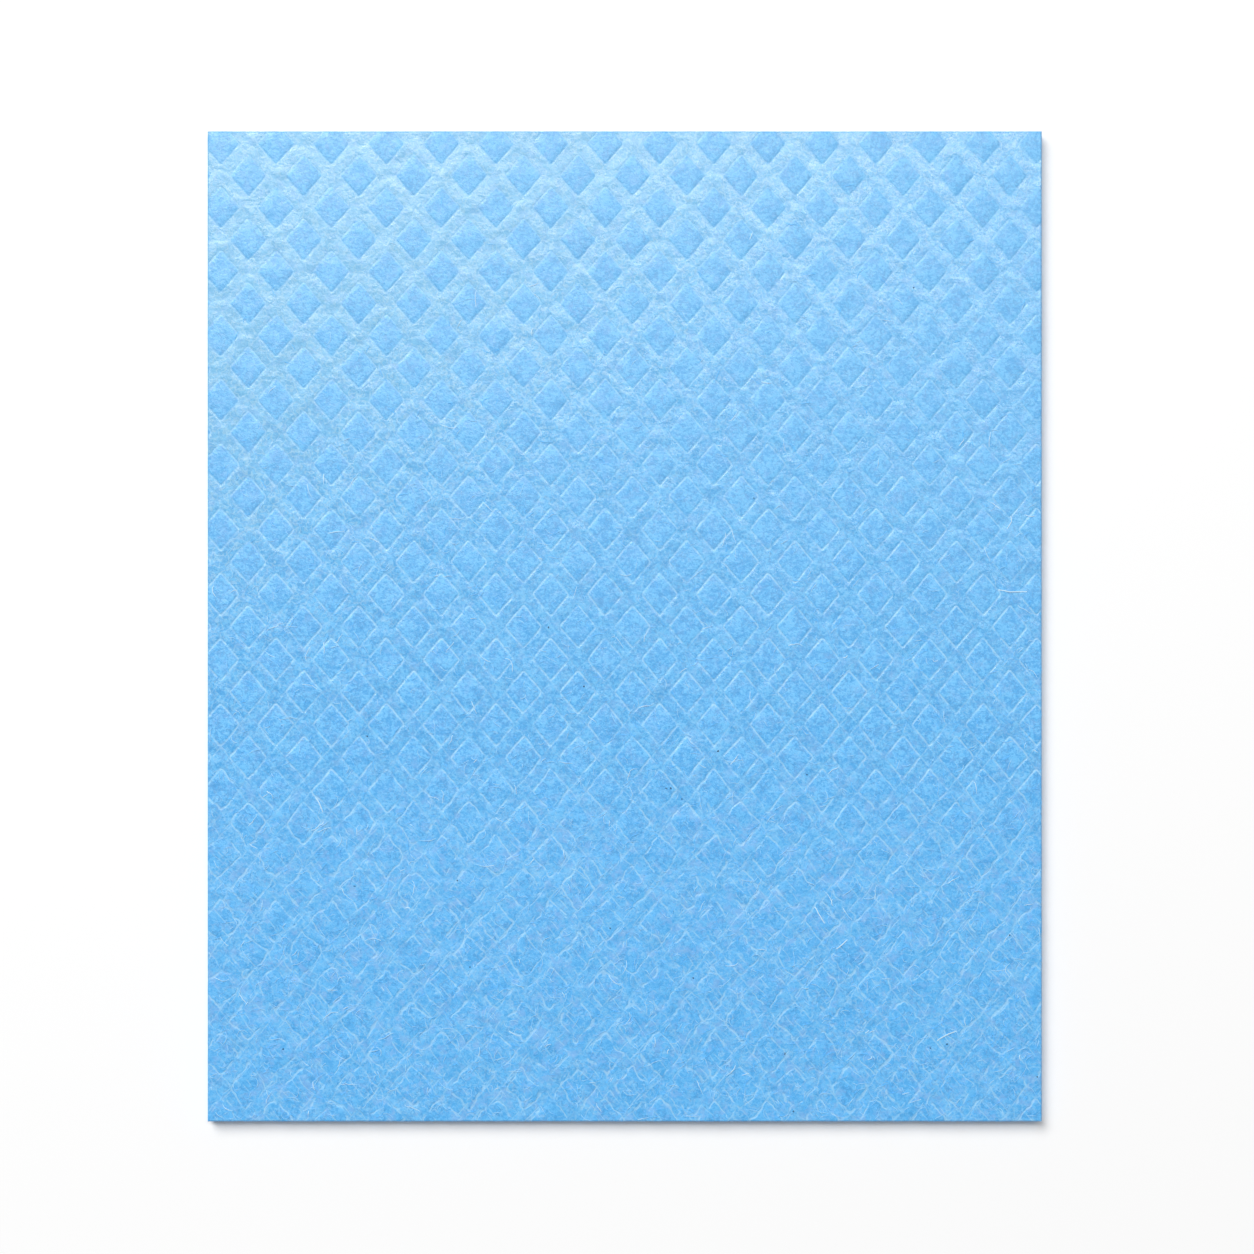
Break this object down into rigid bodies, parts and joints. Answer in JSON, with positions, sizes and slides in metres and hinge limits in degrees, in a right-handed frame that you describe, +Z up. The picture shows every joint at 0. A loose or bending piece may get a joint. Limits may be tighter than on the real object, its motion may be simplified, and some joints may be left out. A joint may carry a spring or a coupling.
{
  "type": "sponge cloth",
  "caption": "Flat rectangular absorbent cloth with rows of diamond pads embossed on its upper side and straight-cut edges, for wiping and drying.",
  "frame": {"origin": "centre of the flat underside, which lies on z = 0", "axes": "+Z up through the thickness, +Y along the length towards the end that shows as the upper one, +X along the width"},
  "size_m": [0.171, 0.203, 0.0032],
  "materials": {
    "cloth": "light blue nonwoven fibre, matt on the pads and slightly glossy on the pressed bands"
  },
  "bodies": {
    "root": {"cloth": "cloth"}
  },
  "joints": []
}
